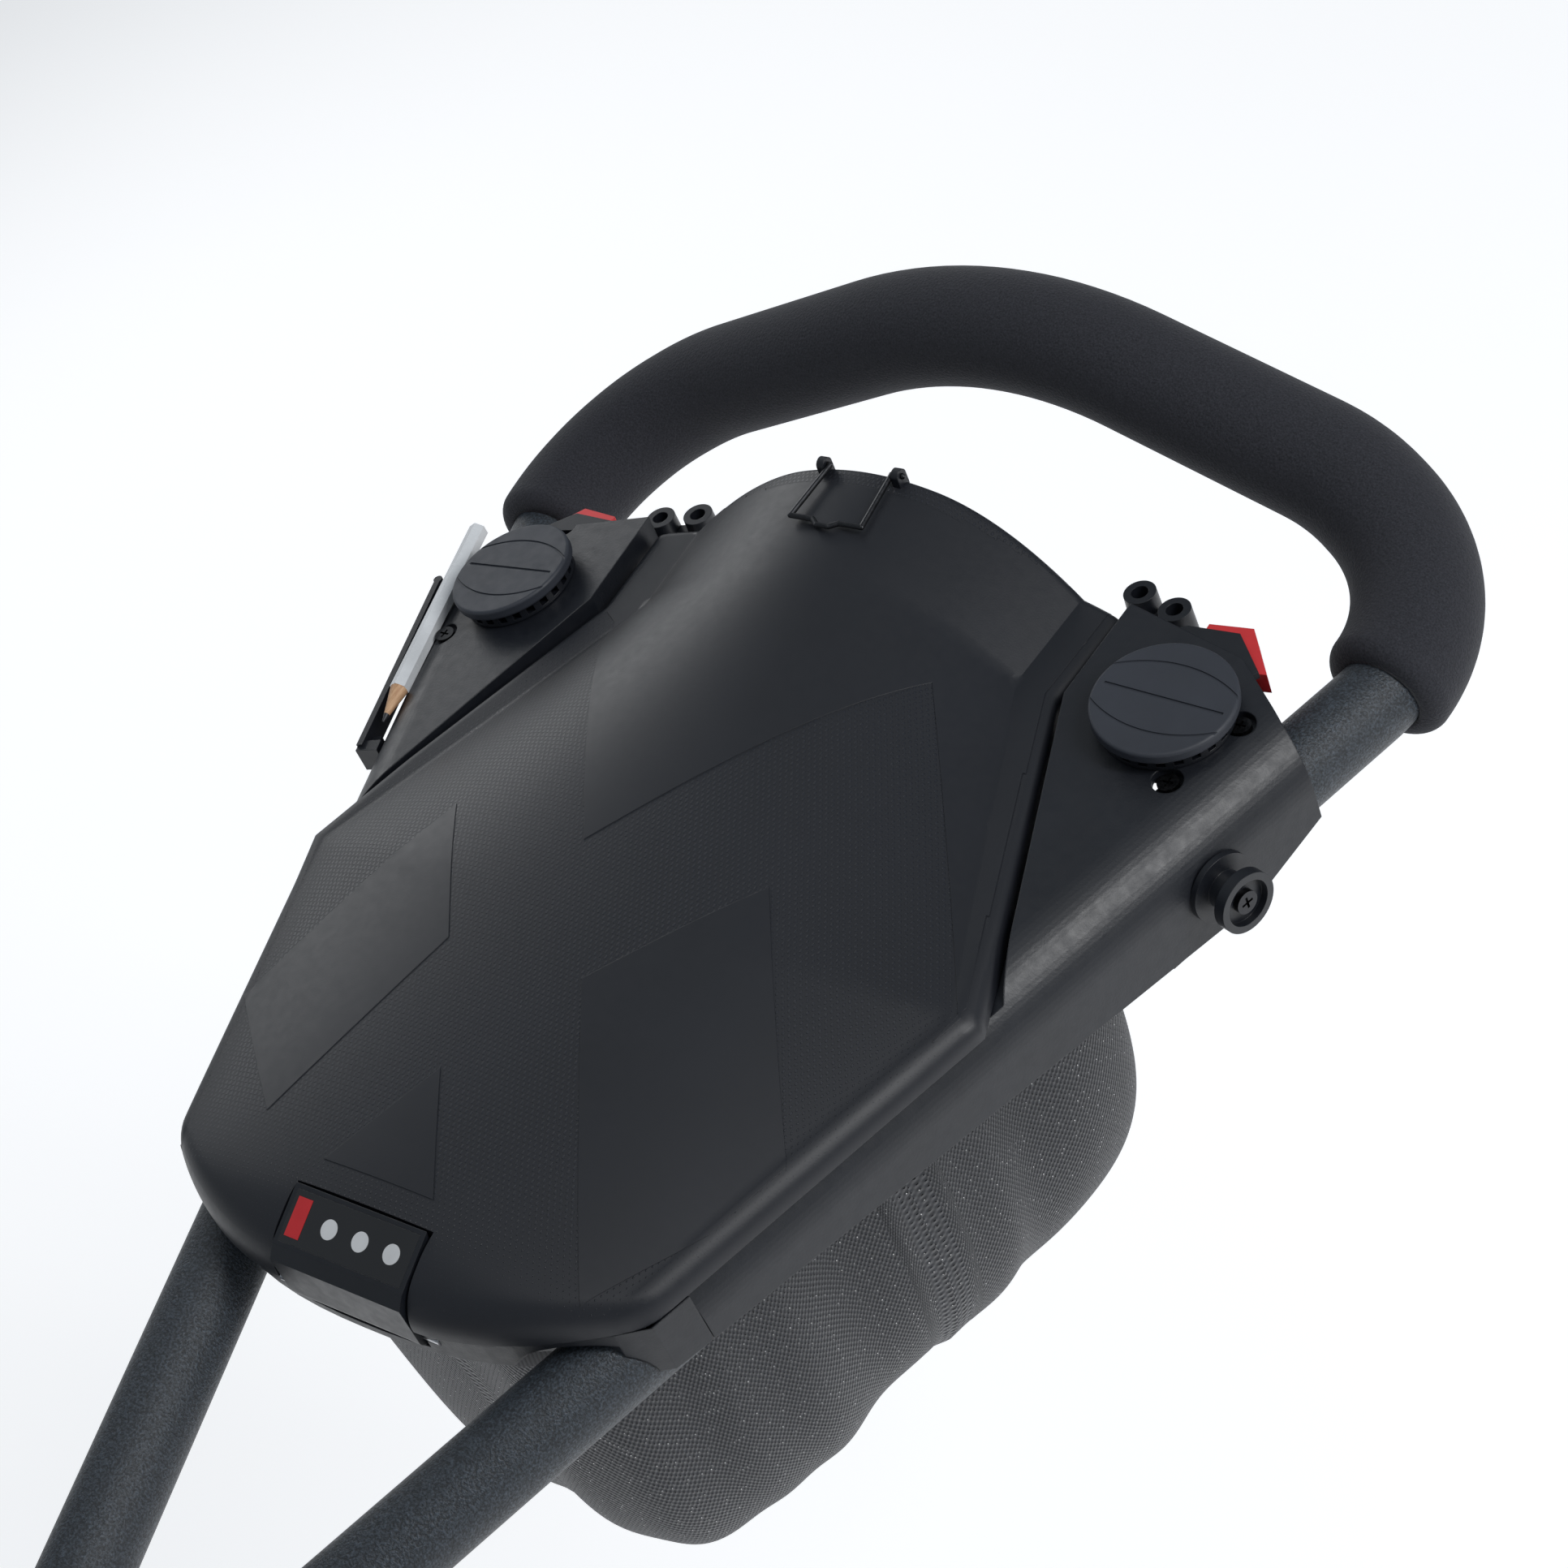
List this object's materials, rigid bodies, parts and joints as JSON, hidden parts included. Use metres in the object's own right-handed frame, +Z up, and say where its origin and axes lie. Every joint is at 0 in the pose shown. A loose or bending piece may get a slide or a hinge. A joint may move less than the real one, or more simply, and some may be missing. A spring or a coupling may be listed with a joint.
{
  "type": "push cart handle console",
  "caption": "Bent-tube handle of a golf push cart with foam grip, lidded accessory console, accessory caps, tee holders, pencil and net bag.",
  "frame": {"origin": "centre of the pivot bore where the two leg axes cross", "axes": "+X to the golfer's right along the pivot bore, +Y from the pivot to the handle, +Z up out of the lid"},
  "size_m": [0.4068, 0.6687, 0.2495],
  "materials": {
    "powder_coat": "speckled textured powder coat",
    "foam": "matte closed-cell foam",
    "black_plastic": "satin moulded",
    "lid_plastic": "satin with a dotted relief pattern",
    "cap_rubber": "matte moulded rubber",
    "zinc_steel": "zinc plated",
    "black_steel": "black oxide",
    "bush_plastic": "acetal",
    "red_plastic": "satin",
    "badge_black": "gloss",
    "badge_pale": "gloss",
    "pencil_paint": "painted wood",
    "pencil_wood": "sharpened",
    "graphite": "graphite",
    "net": "open warp-knit net"
  },
  "bodies": {
    "frame": {"handle_tube": "powder_coat", "foam_grip": "foam", "apex_yoke": "black_plastic", "pivot_bushes": "bush_plastic", "yoke_bolts": "zinc_steel", "yoke_nuts": "zinc_steel", "tray": "black_plastic", "front_bridge": "black_plastic", "bridge_screws": "black_steel", "left_wing": "black_plastic", "right_wing": "black_plastic", "left_saddle": "black_plastic", "right_saddle": "black_plastic", "left_clamp": "black_plastic", "right_clamp": "black_plastic", "clamp_screws": "black_steel", "wing_screws": "black_steel", "tray_screws": "black_steel", "lid_hinge_pins": "zinc_steel", "latch_pin": "zinc_steel", "latch_spring": "zinc_steel", "left_cap_ring": "black_plastic", "right_cap_ring": "black_plastic", "left_tee_holder": "black_plastic", "right_tee_holder": "black_plastic", "left_button_housing": "black_plastic", "right_button_housing": "black_plastic", "pencil_holder": "black_plastic", "accessory_spool": "black_plastic", "spool_screw": "black_steel", "bag_frame": "black_plastic", "bag_net": "net", "bag_screws": "black_steel"},
    "lid": {"lid": "lid_plastic", "lid_hinge_leaf": "black_plastic", "lid_catch": "black_plastic", "clip_hooks": "black_plastic"},
    "scorecard_clip": {"scorecard_clip": "black_steel"},
    "latch": {"latch_tab": "black_plastic", "badge_plate": "badge_black", "badge_stripe": "red_plastic", "badge_dots": "badge_pale"},
    "left_cap": {"left_cap": "cap_rubber"},
    "right_cap": {"right_cap": "cap_rubber"},
    "left_button": {"left_release_button": "red_plastic", "left_button_spring": "zinc_steel"},
    "right_button": {"right_release_button": "red_plastic", "right_button_spring": "zinc_steel"},
    "pencil": {"pencil_barrel": "pencil_paint", "pencil_tip": "pencil_wood", "pencil_lead": "graphite"}
  },
  "joints": [
    {"name": "lid_hinge", "type": "hinge", "parent": "frame", "child": "lid", "pos_m": [0, 0.5345, 0.026], "axis": [-1, 0, 0], "range_deg": [0, 85]},
    {"name": "clip_hinge", "type": "hinge", "parent": "lid", "child": "scorecard_clip", "pos_m": [0, 0.5425, 0.0681], "axis": [-1, 0, 0], "range_deg": [0, 70], "stiffness_Nm_per_rad": 0.02, "springref_deg": -11.46},
    {"name": "latch_hinge", "type": "hinge", "parent": "frame", "child": "latch", "pos_m": [0, 0.2174, 0.0155], "axis": [1, 0, 0], "range_deg": [0, 12], "stiffness_Nm_per_rad": 0.5, "springref_deg": -5.73},
    {"name": "left_cap_twist", "type": "hinge", "parent": "frame", "child": "left_cap", "pos_m": [-0.1376, 0.4925, 0.031], "axis": [-0.0963, -0.022, 0.9951], "range_deg": [0, 90]},
    {"name": "right_cap_twist", "type": "hinge", "parent": "frame", "child": "right_cap", "pos_m": [0.1376, 0.4925, 0.031], "axis": [0.0963, -0.022, 0.9951], "range_deg": [0, 90]},
    {"name": "left_button_press", "type": "slide", "parent": "frame", "child": "left_button", "axis": [0, -1, 0], "range_m": [0, 0.0035], "stiffness_N_per_m": 400, "springref_m": -0.001},
    {"name": "right_button_press", "type": "slide", "parent": "frame", "child": "right_button", "axis": [0, -1, 0], "range_m": [0, 0.0035], "stiffness_N_per_m": 400, "springref_m": -0.001},
    {"name": "pencil_slide", "type": "slide", "parent": "frame", "child": "pencil", "axis": [-0.2241, 0.9716, 0.0761], "range_m": [0, 0.1]}
  ]
}
